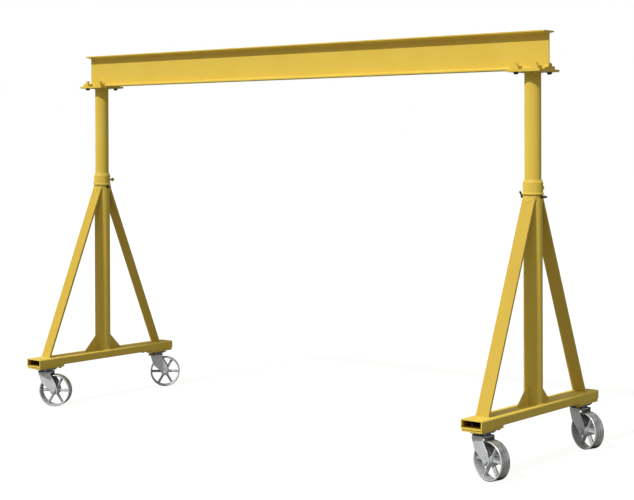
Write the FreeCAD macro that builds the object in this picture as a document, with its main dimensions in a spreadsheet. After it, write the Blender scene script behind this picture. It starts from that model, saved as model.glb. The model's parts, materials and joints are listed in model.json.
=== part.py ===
"""Rolling gantry crane: a rolled I-beam on two braced pipe legs that stand on swivel casters.

Millimetres. +X runs along the beam, +Y across it, +Z up. The origin is on the floor, midway
between the two legs and midway between the casters of a leg. Built at its lowest height.
"""
import FreeCAD, Part
import math
import os
import re

import Sketcher

doc = FreeCAD.newDocument("gantry_crane")

# Driving sizes: one plain number each, set once.
SIZES = {
    # beam, a rolled section with tapered flanges
    "beam_length": 3540.0,
    "beam_depth": 203.2,
    "flange_width": 101.6,
    "flange_mean": 10.8,
    "flange_taper": 0.1667,
    "web_thick": 6.9,
    "web_fillet": 7.9,
    # beam beyond the axis of each mast
    "beam_overhang": 100.0,
    # head plate on each mast and the clips that grip the beam's bottom flange
    "plate_margin": 12.3,
    "plate_thick": 12.7,
    "clip_long": 44.5,
    "clip_wide": 38.1,
    "clip_thick": 9.5,
    "clip_grip": 8.0,
    "clip_along": 60.0,
    "clip_gap": 0.4,
    # mast, the inner pipe, and the sleeve that it slides in
    "mast_od": 88.9,
    "mast_wall": 5.49,
    "mast_shown": 584.0,
    "mast_foot_gap": 26.8,
    "mast_hole_od": 17.5,
    "mast_hole_pitch": 152.4,
    "mast_hole_end": 60.0,
    "sleeve_gap": 0.61,
    "sleeve_wall": 5.74,
    "sleeve_length": 1170.0,
    # collar on the sleeve's mouth, with its thick bottom lip and the neck over the sleeve's end
    "collar_wall": 3.2,
    "collar_length": 62.0,
    "neck_rise": 16.0,
    "neck_wall": 2.5,
    "lip_out": 4.5,
    "lip_high": 8.0,
    "lip_slope": 2.5,
    # height pin and lock screw
    "pin_od": 15.88,
    "pin_drop": 74.0,
    "pin_out": 35.2,
    "pin_nose": 12.0,
    "pin_tip_od": 8.0,
    "pin_stem": 15.0,
    "pin_handle_od": 11.0,
    "pin_handle_rise": 26.0,
    "mast_gap": 0.4,
    "screw_od": 12.7,
    "screw_drop": 29.0,
    "screw_out": 46.0,
    "screw_nut_od": 24.0,
    "screw_nut_thick": 12.0,
    "knob_od": 26.0,
    "knob_thick": 10.0,
    # base tube, laid across the beam's direction
    "tube_length": 1193.8,
    "tube_width": 127.0,
    "tube_height": 50.8,
    "tube_wall": 6.35,
    "tube_corner": 9.0,
    # braces and foot gussets
    "brace_width": 76.2,
    "brace_thick": 12.7,
    "brace_inset": 96.9,
    "brace_show": 2.1,
    "gusset_side": 101.6,
    "gusset_thick": 9.5,
    "gusset_clip": 9.0,
    # caster pads under the ends of the base tube
    "pad_length": 200.0,
    "pad_width": 120.6,
    "pad_thick": 12.7,
    "pad_inset": 5.0,
    # casters
    "caster_inset": 101.6,
    "caster_lead": 66.0,
    "caster_plate_side": 101.6,
    "caster_plate_thick": 9.5,
    "race_od": 88.0,
    "race_thick": 12.0,
    "race_gap": 1.6,
    "kingpin_od": 19.0,
    "kingpin_gap": 0.5,
    "kingpin_nut_od": 31.0,
    "kingpin_nut_thick": 9.0,
    "kingpin_washer_gap": 0.6,
    "crown_od": 101.6,
    "crown_thick": 9.5,
    "fork_thick": 6.35,
    "fork_gap": 1.2,
    "fork_top_back": 32.0,
    "fork_top_ahead": 45.0,
    "fork_mid_rise": 48.4,
    "fork_mid_back": 14.0,
    "fork_mid_ahead": 78.0,
    "fork_boss_od": 50.0,
    "axle_od": 15.88,
    "axle_end": 11.0,
    "wheel_od": 203.2,
    "wheel_width": 63.5,
    "wheel_clear": 10.2,
    "rim_thick": 11.0,
    "rim_draft": 3.0,
    "hub_od": 54.0,
    "hub_proud": 4.0,
    "hub_gap": 0.08,
    "spoke_count": 6.0,
    "spoke_wide": 17.0,
    "spoke_thick": 26.0,
    "spoke_rib": 9.0,
    "tread_round": 2.5,
    # rest angles of the casters about their kingpins, from +X
    "left_front_turn": 30.0,
    "left_rear_turn": 44.0,
    "right_front_turn": -13.0,
    "right_rear_turn": -19.5,
}

# Places and sizes worked out from the driving sizes.
PLACES = {
    "caster_height": "wheel_od + wheel_clear + crown_thick + race_gap + race_thick + caster_plate_thick",
    "tube_bottom": "caster_height + pad_thick",
    "tube_top": "tube_bottom + tube_height",
    "sleeve_top": "tube_top + sleeve_length",
    "mast_top": "sleeve_top + mast_shown",
    "mast_bottom": "tube_top + mast_foot_gap",
    "beam_bottom": "mast_top + plate_thick",
    "leg_x": "beam_length / 2 - beam_overhang",
    "plate_side": "flange_width + 2 * (clip_gap + clip_wide + plate_margin)",
    "toe_thick": "flange_mean - flange_taper * (flange_width - web_thick) / 4",
    "root_thick": "flange_mean + flange_taper * (flange_width - web_thick) / 4",
    "grip_thick": "toe_thick + flange_taper * clip_grip",
    "sleeve_od": "mast_od + 2 * (sleeve_gap + sleeve_wall)",
    "collar_bottom": "sleeve_top - collar_length",
    "pin_level": "sleeve_top - pin_drop",
    "pin_reach": "sleeve_od / 2 + pin_out",
    "pin_bend": "sleeve_od / 2 + pin_stem",
    "pin_handle_run": "pin_reach - pin_bend - pin_handle_od / 2",
    "pin_handle_lean": "atan(pin_handle_run / pin_handle_rise)",
    "pin_handle_length": "sqrt(pin_handle_run ^ 2 + pin_handle_rise ^ 2)",
    "mast_hole_count": "floor((pin_level - mast_bottom - mast_hole_end) / mast_hole_pitch) + 1",
    "screw_level": "sleeve_top - screw_drop",
    "screw_reach": "sleeve_od / 2 + collar_wall + screw_out",
    "brace_foot": "tube_length / 2 - brace_inset",
    "brace_reach": "sqrt(sleeve_od ^ 2 - brace_width ^ 2) / 2 + brace_show",
    "brace_rise": "collar_bottom - tube_top",
    "brace_angle": "atan((brace_foot - brace_reach) / brace_rise)",
    "brace_deep": "brace_thick / cos(brace_angle)",
    "caster_y": "tube_length / 2 - caster_inset",
    "pad_y": "tube_length / 2 - pad_inset - pad_length / 2",
    "race_bottom": "caster_height - caster_plate_thick - race_thick",
    "crown_top": "race_bottom - race_gap",
    "crown_bottom": "crown_top - crown_thick",
    "kingpin_nut_top": "crown_bottom - kingpin_washer_gap",
    "kingpin_bottom": "kingpin_nut_top - kingpin_nut_thick",
    "hub_length": "wheel_width + 2 * hub_proud",
    "fork_inside": "hub_length / 2 + fork_gap",
    "fork_outside": "fork_inside + fork_thick",
    "rim_inside": "wheel_od / 2 - rim_thick",
}

SIDES = (("left", -1), ("right", 1))
ENDS = (("front", -1), ("rear", 1))

# Two places closer than this count as one.
SAME = 0.01


def make_sheet(name, cells):
    """A spreadsheet with one alias in each row."""
    sheet = doc.addObject("Spreadsheet::Sheet", name)
    for row, (alias, content) in enumerate(cells.items(), start=1):
        sheet.set(f"A{row}", alias)
        sheet.set(f"B{row}", str(content))
        sheet.setAlias(f"B{row}", alias)
    doc.recompute()
    return sheet


def bound(text, sheets):
    """Write each alias in an expression with the name of its sheet in front."""

    def with_sheet(match):
        word = match.group(0)
        for name, cells in sheets:
            if word in cells:
                return f"{name}.{word}"
        return word

    return re.sub(r"[a-z_]+", with_sheet, text)


sizes = make_sheet("Sizes", SIZES)
places = make_sheet(
    "Places",
    {alias: "=" + bound(text, (("Sizes", SIZES),)) for alias, text in PLACES.items()},
)


def bind(thing, **expressions):
    """Bind a thing's sizes to the sheets: bind(box, Length="beam_length")."""
    for name, text in expressions.items():
        thing.setExpression(name, bound(str(text), (("Sizes", SIZES), ("Places", PLACES))))


def place(thing, x="0", y="0", z="0"):
    """Bind where a thing stands."""
    for axis, text in (("x", x), ("y", y), ("z", z)):
        bind(thing, **{f".Placement.Base.{axis}": text})


def turn(thing, angle):
    """Bind a turn about the upright axis, in degrees."""
    thing.Placement.Rotation = FreeCAD.Rotation(FreeCAD.Vector(0, 0, 1), 0)
    bind(thing, **{".Placement.Rotation.Axis.z": "1", ".Placement.Rotation.Angle": angle})


# Sketched bodies


def new_body(label):
    body = doc.addObject("PartDesign::Body", label)
    body.Label = label
    return body


def new_sketch(body, plane, offset="0"):
    """A sketch on one of the body's own origin planes, moved along that plane's normal."""
    sketch = body.newObject("Sketcher::SketchObject", f"{body.Name}_sketch")
    origin_plane = next(f for f in body.Origin.OriginFeatures if f.Role == plane)
    sketch.AttachmentSupport = [(origin_plane, "")]
    sketch.MapMode = "FlatFace"
    bind(sketch, **{".AttachmentOffset.Base.z": offset})
    return sketch


def fix_point(sketch, line, end, x, y):
    """Hold one end of a line, or the middle of a circle, at bound distances from the origin."""
    for kind, text in (("DistanceX", x), ("DistanceY", y)):
        index = sketch.addConstraint(Sketcher.Constraint(kind, -1, 1, line, end, 0.0))
        bind(sketch, **{f"Constraints[{index}]": text})


def outline(body, plane, points, offset="0"):
    """A closed sketch of straight lines through points given as pairs of expressions."""
    sketch = new_sketch(body, plane, offset)
    count = len(points)
    for i in range(count):
        start = FreeCAD.Vector(i, i * i, 0)
        end = FreeCAD.Vector(i + 1, (i + 1) * (i + 1), 0)
        sketch.addGeometry(Part.LineSegment(start, end), False)
    for i in range(count):
        sketch.addConstraint(Sketcher.Constraint("Coincident", i, 2, (i + 1) % count, 1))
    for i, (x, y) in enumerate(points):
        fix_point(sketch, i, 1, x, y)
    return sketch


def ring(body, plane, middle, radii, offset="0"):
    """A sketch of circles about one point: one for a disc, two for a ring."""
    sketch = new_sketch(body, plane, offset)
    for i, radius in enumerate(radii):
        up = FreeCAD.Vector(0, 0, 1)
        sketch.addGeometry(Part.Circle(FreeCAD.Vector(0, 0, 0), up, 10.0 + i), False)
        fix_point(sketch, i, 3, *middle)
        index = sketch.addConstraint(Sketcher.Constraint("Radius", i, 10.0 + i))
        bind(sketch, **{f"Constraints[{index}]": radius})
    return sketch


def pad(body, sketch, length, back=False):
    feature = body.newObject("PartDesign::Pad", f"{body.Name}_pad")
    feature.Profile = sketch
    feature.Reversed = back
    bind(feature, Length=length)
    doc.recompute()
    return feature


def pocket(body, sketch, length, back=False):
    """Cut a sketch out of the body, and stop if nothing was cut."""
    before = body.Shape.Volume
    feature = body.newObject("PartDesign::Pocket", f"{body.Name}_pocket")
    feature.Profile = sketch
    feature.Reversed = back
    bind(feature, Length=length)
    doc.recompute()
    if body.Shape.Volume >= before:
        raise RuntimeError(f"{body.Label}: a pocket cut nothing")
    return feature


def revolve(body, sketch, axis):
    feature = body.newObject("PartDesign::Revolution", f"{body.Name}_turned")
    feature.Profile = sketch
    feature.ReferenceAxis = (sketch, [axis])
    feature.Angle = 360.0
    doc.recompute()
    return feature


def mirrored(body, feature, plane):
    """A feature repeated on the other side of one of the body's origin planes."""
    origin_plane = next(f for f in body.Origin.OriginFeatures if f.Role == plane)
    copy = body.newObject("PartDesign::Mirrored", f"{body.Name}_mirrored")
    copy.Originals = [feature]
    copy.MirrorPlane = (origin_plane, [""])
    body.Tip = copy
    doc.recompute()
    return copy


# Part primitives


def cylinder(label, radius, height):
    solid = doc.addObject("Part::Cylinder", label)
    bind(solid, Radius=radius, Height=height)
    return solid


def box(label, size, corner):
    solid = doc.addObject("Part::Box", label)
    bind(solid, Length=size[0], Width=size[1], Height=size[2])
    place(solid, *corner)
    return solid


def joined(label, solids):
    union = doc.addObject("Part::MultiFuse", label)
    union.Shapes = solids
    return union


def cut(label, solid, tool):
    rest = doc.addObject("Part::Cut", label)
    rest.Base = solid
    rest.Tool = tool
    return rest


# The beam: a rolled section with tapered flanges, and rounded roots where web meets flange.


def make_beam():
    beam = new_body("main_beam")
    half_web, half_flange = "web_thick / 2", "flange_width / 2"
    quarter = [
        (half_flange, "0"),
        (half_flange, "toe_thick"),
        (half_web, "root_thick"),
        (half_web, "beam_depth - root_thick"),
        (half_flange, "beam_depth - toe_thick"),
        (half_flange, "beam_depth"),
    ]
    other = [(f"-({x})", y) for x, y in reversed(quarter)]
    section = outline(beam, "YZ_Plane", quarter + other, "-beam_length / 2")
    rolled = pad(beam, section, "beam_length")
    low_root, web_side = places.root_thick, sizes.web_thick / 2
    roots = [
        f"Edge{i}"
        for i, edge in enumerate(rolled.Shape.Edges, start=1)
        if edge.BoundBox.XLength > sizes.beam_length / 2
        and math.isclose(abs(edge.CenterOfMass.y), web_side, abs_tol=SAME)
        and low_root - SAME < edge.CenterOfMass.z < sizes.beam_depth - low_root + SAME
    ]
    fillet = beam.newObject("PartDesign::Fillet", "beam_roots")
    fillet.Base = (rolled, roots)
    bind(fillet, Radius="web_fillet")
    place(beam, z="beam_bottom")
    return beam


def make_head_plate(side, sign):
    middle = f"{sign} * leg_x"
    return box(
        f"{side}_head_plate",
        ("plate_side", "plate_side", "plate_thick"),
        (f"{middle} - plate_side / 2", "-plate_side / 2", "mast_top"),
    )


def make_clips(side, sign):
    """Four stepped clips: the heel stands on the plate, the nose on the beam's flange."""
    clips = []
    for end, across in ENDS:
        for step, along in (("in", -1), ("out", 1)):
            clip = new_body(f"{side}_{end}_{step}_clip")
            toe, nose = "flange_width / 2 + clip_gap", "flange_width / 2 - clip_grip"
            back = "flange_width / 2 + clip_gap + clip_wide"
            step_top = "grip_thick + clip_thick"
            profile = [
                (f"{across} * ({toe})", "0"),
                (f"{across} * ({back})", "0"),
                (f"{across} * ({back})", step_top),
                (f"{across} * ({nose})", step_top),
                (f"{across} * ({nose})", "grip_thick"),
                (f"{across} * ({toe})", "grip_thick"),
            ]
            section = outline(clip, "YZ_Plane", profile, "-clip_long / 2")
            pad(clip, section, "clip_long")
            place(clip, f"{sign} * leg_x + {along} * clip_along", "0", "beam_bottom")
            clips.append(clip)
    return joined(f"{side}_beam_clips", clips)


def make_mast(side, sign):
    """The inner pipe, with a row of pin holes in the part that stands in the sleeve."""
    mast = new_body(f"{side}_mast")
    wall = ring(mast, "XY_Plane", ("0", "0"), ("mast_od / 2", "mast_od / 2 - mast_wall"))
    pad(mast, wall, "mast_top - mast_bottom")
    first_hole = "pin_level - mast_bottom"
    for i in range(int(places.mast_hole_count)):
        level = f"{first_hole} - {i} * mast_hole_pitch"
        hole = ring(mast, "YZ_Plane", ("0", level), ("mast_hole_od / 2",), "-mast_od")
        pocket(mast, hole, "2 * mast_od", back=True)
    place(mast, f"{sign} * leg_x", "0", "mast_bottom")
    return mast


# The legs: sleeve, collar, pins, base tube, braces, gussets and caster pads.


def make_sleeve(side, sign):
    sleeve = new_body(f"{side}_sleeve")
    wall = ring(sleeve, "XY_Plane", ("0", "0"), ("sleeve_od / 2", "sleeve_od / 2 - sleeve_wall"))
    pad(sleeve, wall, "sleeve_length")
    level = "sleeve_length - pin_drop"
    hole = ring(sleeve, "YZ_Plane", ("0", level), ("pin_od / 2",), "-sleeve_od")
    pocket(sleeve, hole, "2 * sleeve_od", back=True)
    level = "sleeve_length - screw_drop"
    hole = ring(sleeve, "XZ_Plane", ("0", level), ("screw_od / 2",))
    pocket(sleeve, hole, "sleeve_od")
    place(sleeve, f"{sign} * leg_x", "0", "tube_top")
    return sleeve


def make_collar(side, sign):
    """A band shrunk on the sleeve's mouth: a lip at its foot, a tapered neck that keeps dirt out."""
    collar = new_body(f"{side}_collar")
    inner, outer, mouth = "sleeve_od / 2", "sleeve_od / 2 + collar_wall", "mast_od / 2 + sleeve_gap"
    profile = [
        (inner, "0"),
        (f"{outer} + lip_out", "0"),
        (f"{outer} + lip_out", "lip_high - lip_slope"),
        (outer, "lip_high"),
        (outer, "collar_length"),
        (f"{mouth} + neck_wall", "collar_length + neck_rise"),
        (mouth, "collar_length + neck_rise"),
        (mouth, "collar_length"),
        (inner, "collar_length"),
    ]
    revolve(collar, outline(collar, "XZ_Plane", profile), "V_Axis")
    level = "collar_length - screw_drop"
    hole = ring(collar, "XZ_Plane", ("0", level), ("screw_od / 2",))
    pocket(collar, hole, "sleeve_od")
    place(collar, f"{sign} * leg_x", "0", "collar_bottom")
    return collar


def make_height_pin(side, sign):
    """Both ends of the height pin; it stops short of the mast so that the mast can slide."""
    middle, inside = f"{sign} * leg_x", "mast_od / 2 + mast_gap"

    def rod(name, radius, length, along, lean="90"):
        """A rod that leans away from upright, outwards from the leg."""
        solid = cylinder(f"{side}_pin_{name}", radius, length)
        solid.Placement.Rotation = FreeCAD.Rotation(FreeCAD.Vector(0, along, 0), 1)
        bind(solid, **{".Placement.Rotation.Angle": lean})
        return solid

    shank = rod("shank", "pin_od / 2", f"pin_reach - pin_nose - ({inside})", 1)
    place(shank, f"{middle} + {inside}", "0", "pin_level")
    nose = doc.addObject("Part::Cone", f"{side}_pin_nose")
    bind(nose, Radius1="pin_od / 2", Radius2="pin_tip_od / 2", Height="pin_nose")
    nose.Placement.Rotation = FreeCAD.Rotation(FreeCAD.Vector(0, 1, 0), 90)
    place(nose, f"{middle} + pin_reach - pin_nose", "0", "pin_level")
    stem = rod("stem", "pin_od / 2", f"pin_bend + pin_handle_od / 2 - ({inside})", -1)
    place(stem, f"{middle} - ({inside})", "0", "pin_level")
    handle = rod("handle", "pin_handle_od / 2", "pin_handle_length", -1, "pin_handle_lean")
    place(handle, f"{middle} - pin_bend", "0", "pin_level")
    return joined(f"{side}_height_pin", [shank, nose, stem, handle])


def make_lock_screw(side, sign):
    """A screw with a knob, through a nut on the collar's rear."""
    screw = new_body(f"{side}_lock_screw")
    band = "sleeve_od / 2 + collar_wall"
    shank, nut, knob = "screw_od / 2", "screw_nut_od / 2", "knob_od / 2"
    profile = [
        ("0", "mast_od / 2 + mast_gap"),
        (shank, "mast_od / 2 + mast_gap"),
        (shank, band),
        (nut, band),
        (nut, f"{band} + screw_nut_thick"),
        (shank, f"{band} + screw_nut_thick"),
        (shank, "screw_reach - knob_thick"),
        (knob, "screw_reach - knob_thick"),
        (knob, "screw_reach"),
        ("0", "screw_reach"),
    ]
    revolve(screw, outline(screw, "XY_Plane", profile), "V_Axis")
    place(screw, f"{sign} * leg_x", "0", "screw_level")
    return screw


def make_base_tube(side, sign):
    """Rectangular tube, open at both ends, with rounded corners."""
    tube = new_body(f"{side}_base_tube")

    def section(inset):
        x, low, high = f"tube_width / 2 - {inset}", inset, f"tube_height - {inset}"
        return [(f"-({x})", low), (x, low), (x, high), (f"-({x})", high)]

    solid = pad(tube, outline(tube, "XZ_Plane", section("0"), "-tube_length / 2"), "tube_length")
    corners = [
        f"Edge{i}"
        for i, edge in enumerate(solid.Shape.Edges, start=1)
        if edge.BoundBox.YLength > sizes.tube_length / 2
    ]
    fillet = tube.newObject("PartDesign::Fillet", f"{side}_tube_corners")
    fillet.Base = (solid, corners)
    bind(fillet, Radius="tube_corner")
    doc.recompute()
    inside = outline(tube, "XZ_Plane", section("tube_wall"), "-tube_length / 2")
    pocket(tube, inside, "tube_length", back=True)
    place(tube, f"{sign} * leg_x", "0", "tube_bottom")
    return tube


def make_brace(side, sign, end, across):
    """A flat bar from the base tube up to the sleeve, saddled over the pipe at its top."""
    bar = new_body(f"{side}_{end}_brace_bar")
    profile = [
        (f"{across} * brace_foot", "0"),
        (f"{across} * (brace_foot - brace_deep)", "0"),
        (f"{across} * (brace_reach - brace_deep)", "brace_rise"),
        (f"{across} * brace_reach", "brace_rise"),
    ]
    pad(bar, outline(bar, "YZ_Plane", profile, "-brace_width / 2"), "brace_width")
    place(bar, f"{sign} * leg_x", "0", "tube_top")
    pipe = cylinder(f"{side}_{end}_saddle", "sleeve_od / 2", "2 * sleeve_length")
    place(pipe, f"{sign} * leg_x", "0", "tube_bottom")
    return cut(f"{side}_{end}_brace", bar, pipe)


def make_gusset(side, sign, end, across):
    gusset = new_body(f"{side}_{end}_gusset")
    back, tip = "sleeve_od / 2", "sleeve_od / 2 + gusset_side"
    profile = [
        (f"{across} * ({back})", "0"),
        (f"{across} * ({tip})", "0"),
        (f"{across} * ({tip})", "gusset_clip"),
        (f"{across} * ({back} + gusset_clip)", "gusset_side"),
        (f"{across} * ({back})", "gusset_side"),
    ]
    pad(gusset, outline(gusset, "YZ_Plane", profile, "-gusset_thick / 2"), "gusset_thick")
    place(gusset, f"{sign} * leg_x", "0", "tube_top")
    return gusset


def make_pad(side, sign, end, across):
    corner = (f"{sign} * leg_x - pad_width / 2", f"{across} * pad_y - pad_length / 2", "caster_height")
    return box(f"{side}_{end}_pad", ("pad_width", "pad_length", "pad_thick"), corner)


# The casters: a plate with its race and kingpin, a fork, an axle and a spoked wheel.


def make_caster_plate(side, sign, end, across):
    """Top plate, ball race, and the kingpin with the nut that carries the fork."""
    x, y = f"{sign} * leg_x", f"{across} * caster_y"
    name = f"{side}_{end}"
    half = "caster_plate_side / 2"
    plate = box(
        f"{name}_top_plate",
        ("caster_plate_side", "caster_plate_side", "caster_plate_thick"),
        (f"{x} - {half}", f"{y} - {half}", "caster_height - caster_plate_thick"),
    )
    race = cylinder(f"{name}_race", "race_od / 2", "race_thick")
    place(race, x, y, "race_bottom")
    pin = cylinder(f"{name}_kingpin", "kingpin_od / 2", "race_bottom - kingpin_bottom")
    place(pin, x, y, "kingpin_bottom")
    nut = cylinder(f"{name}_kingpin_nut", "kingpin_nut_od / 2", "kingpin_nut_thick")
    place(nut, x, y, "kingpin_bottom")
    return joined(f"{name}_caster_plate", [plate, race, pin, nut])


def make_fork(side, sign, end, across):
    """A round crown and two shield-shaped cheeks, bored for the kingpin and the axle."""
    name = f"{side}_{end}"
    fork = new_body(f"{name}_fork")
    crown = ring(fork, "XY_Plane", ("0", "0"), ("crown_od / 2",), "crown_bottom")
    pad(fork, crown, "crown_thick")
    radius, wheel_middle = "fork_boss_od / 2", ("caster_lead", "wheel_od / 2")
    middle_level = "wheel_od / 2 + fork_mid_rise"
    cheek = [
        ("-fork_top_back", "crown_top"),
        ("-fork_top_back", "crown_bottom - crown_thick"),
        ("-fork_mid_back", middle_level),
        (f"caster_lead - {radius}", "wheel_od / 2"),
        (f"caster_lead + {radius}", "wheel_od / 2"),
        ("fork_mid_ahead", middle_level),
        ("fork_top_ahead", "crown_bottom - crown_thick"),
        ("fork_top_ahead", "crown_top"),
    ]
    side_plate = pad(fork, outline(fork, "XZ_Plane", cheek, "fork_inside"), "fork_thick")
    mirrored(fork, side_plate, "XZ_Plane")
    boss = pad(fork, ring(fork, "XZ_Plane", wheel_middle, (radius,), "fork_inside"), "fork_thick")
    mirrored(fork, boss, "XZ_Plane")
    bore = ring(fork, "XY_Plane", ("0", "0"), ("kingpin_od / 2 + kingpin_gap",), "crown_bottom")
    pocket(fork, bore, "crown_thick", back=True)
    axle_hole = ring(fork, "XZ_Plane", wheel_middle, ("axle_od / 2",), "-crown_od")
    pocket(fork, axle_hole, "2 * crown_od", back=True)
    place(fork, f"{sign} * leg_x", f"{across} * caster_y")
    turn(fork, f"{name}_turn")
    return fork


def make_axle(side, sign, end, across):
    name = f"{side}_{end}"
    axle = new_body(f"{name}_axle")
    middle = ("caster_lead", "wheel_od / 2")
    reach = "fork_outside + axle_end"
    pad(axle, ring(axle, "XZ_Plane", middle, ("axle_od / 2",), f"-({reach})"), f"2 * ({reach})")
    place(axle, f"{sign} * leg_x", f"{across} * caster_y")
    turn(axle, f"{name}_turn")
    return axle


def make_wheel(side, sign, end, across):
    """Cast wheel: flat tread, rim tapered inwards from its middle, hub and ribbed spokes."""
    name = f"{side}_{end}"
    wheel = new_body(f"{name}_wheel")
    half = "wheel_width / 2"
    tread = "wheel_od / 2"
    rim = [
        (tread, f"-{half} + tread_round"),
        (tread, f"{half} - tread_round"),
        (f"{tread} - tread_round", half),
        ("rim_inside + rim_draft", half),
        ("rim_inside", "spoke_rib / 2"),
        ("rim_inside", "-spoke_rib / 2"),
        ("rim_inside + rim_draft", f"-{half}"),
        (f"{tread} - tread_round", f"-{half}"),
    ]
    revolve(wheel, outline(wheel, "XY_Plane", rim), "V_Axis")
    hub = ring(wheel, "XZ_Plane", ("0", "0"), ("hub_od / 2",), "-hub_length / 2")
    pad(wheel, hub, "hub_length")
    inner, outer = "hub_od / 2 - rim_draft", "rim_inside + rim_draft"
    web = [
        (inner, "-spoke_wide / 2"),
        (outer, "-spoke_wide / 2"),
        (outer, "spoke_wide / 2"),
        (inner, "spoke_wide / 2"),
    ]
    rib = [
        (inner, "-spoke_rib / 2"),
        ("rim_inside", "-spoke_rib / 2"),
        ("rim_inside", "spoke_rib / 2"),
        (inner, "spoke_rib / 2"),
    ]
    spoke = pad(wheel, outline(wheel, "XZ_Plane", web, "-spoke_rib / 2"), "spoke_rib")
    ridge = pad(wheel, outline(wheel, "XZ_Plane", rib, "-spoke_thick / 2"), "spoke_thick")
    spokes = wheel.newObject("PartDesign::PolarPattern", f"{name}_spokes")
    spokes.Originals = [spoke, ridge]
    y_axis = next(f for f in wheel.Origin.OriginFeatures if f.Role == "Y_Axis")
    spokes.Axis = (y_axis, [""])
    spokes.Angle = 360.0
    bind(spokes, Occurrences="spoke_count")
    wheel.Tip = spokes
    doc.recompute()
    bore = ring(wheel, "XZ_Plane", ("0", "0"), ("axle_od / 2 + hub_gap",), "-hub_length")
    pocket(wheel, bore, "2 * hub_length", back=True)
    angle = f"{name}_turn"
    place(
        wheel,
        f"{sign} * leg_x + caster_lead * cos({angle} * 1deg)",
        f"{across} * caster_y + caster_lead * sin({angle} * 1deg)",
        "wheel_od / 2",
    )
    turn(wheel, angle)
    return wheel


nodes = [make_beam()]
for side, sign in SIDES:
    nodes.append(make_head_plate(side, sign))
    nodes.append(make_clips(side, sign))
    nodes.append(make_mast(side, sign))
    nodes.append(make_sleeve(side, sign))
    nodes.append(make_collar(side, sign))
    nodes.append(make_height_pin(side, sign))
    nodes.append(make_lock_screw(side, sign))
    nodes.append(make_base_tube(side, sign))
    for end, across in ENDS:
        corner = (side, sign, end, across)
        nodes.append(make_brace(*corner))
        nodes.append(make_gusset(*corner))
        nodes.append(make_pad(*corner))
        nodes.append(make_caster_plate(*corner))
        nodes.append(make_fork(*corner))
        nodes.append(make_axle(*corner))
        nodes.append(make_wheel(*corner))

doc.recompute()
for thing in doc.Objects:
    if "Invalid" in thing.State or "Error" in thing.State:
        raise RuntimeError(f"{thing.Label}: {thing.State}")
for node in nodes:
    if node.Shape.isNull() or not node.Shape.isValid():
        raise RuntimeError(f"{node.Label}: bad shape")

os.makedirs("parts", exist_ok=True)
for node in nodes:
    node.Shape.exportStep(os.path.join("parts", f"{node.Label}.step"))
    print(f"{node.Label}: {len(node.Shape.Solids)} solid, {node.Shape.Volume / 1000:.1f} cm3")
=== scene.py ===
import json
import math

import bmesh
import bpy
from mathutils import Matrix, Vector


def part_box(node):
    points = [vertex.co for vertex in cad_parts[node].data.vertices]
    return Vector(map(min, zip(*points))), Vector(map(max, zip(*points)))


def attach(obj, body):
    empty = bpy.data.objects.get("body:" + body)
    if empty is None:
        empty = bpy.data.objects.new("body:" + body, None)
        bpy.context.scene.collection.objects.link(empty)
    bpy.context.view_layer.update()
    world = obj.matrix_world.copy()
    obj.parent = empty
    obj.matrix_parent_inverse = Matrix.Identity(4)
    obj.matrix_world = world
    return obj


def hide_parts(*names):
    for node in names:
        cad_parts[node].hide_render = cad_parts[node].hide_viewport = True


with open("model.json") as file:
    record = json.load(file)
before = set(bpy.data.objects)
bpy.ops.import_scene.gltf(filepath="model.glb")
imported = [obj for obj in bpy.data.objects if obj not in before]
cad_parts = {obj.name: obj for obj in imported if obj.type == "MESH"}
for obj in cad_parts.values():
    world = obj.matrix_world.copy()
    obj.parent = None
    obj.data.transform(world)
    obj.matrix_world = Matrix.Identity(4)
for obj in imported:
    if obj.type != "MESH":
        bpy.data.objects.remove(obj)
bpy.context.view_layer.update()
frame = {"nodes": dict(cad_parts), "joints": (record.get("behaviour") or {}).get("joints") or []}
nodes = frame["nodes"]

SIDES = ("left", "right")
ENDS = ("front", "rear")
CORNERS = [(side, end) for side in SIDES for end in ENDS]


# Main beam
# A rolled steel I-section with tapered flanges, sawn to length and sprayed with safety yellow
# alkyd enamel. The film is glossy but wavy, follows faint rolling marks, and thins on the edges.

ENAMEL_YELLOW = "#E9CF5C"
ENAMEL_DEEP = "#E1C34B"
ENAMEL_THIN = "#ECDA7C"
# painted shade: the dull olive that the enamel darkens towards in corners
ENAMEL_CORNER_SHADE = "#8F7A34"


def linear(hex_colour):
    """An sRGB hex colour as a linear RGBA one."""
    parts = [int(hex_colour[i : i + 2], 16) / 255 for i in (1, 3, 5)]
    return (*[p / 12.92 if p <= 0.04045 else ((p + 0.055) / 1.055) ** 2.4 for p in parts], 1.0)


def add_node(tree, kind, settings=None, inputs=None):
    """Add a node with its settings; each input is a value, or the socket that feeds it."""
    node = tree.nodes.new(kind)
    for name, value in (settings or {}).items():
        setattr(node, name, value)
    for key, value in (inputs or {}).items():
        if isinstance(value, bpy.types.NodeSocket):
            tree.links.new(value, node.inputs[key])
        else:
            node.inputs[key].default_value = value
    return node


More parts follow.
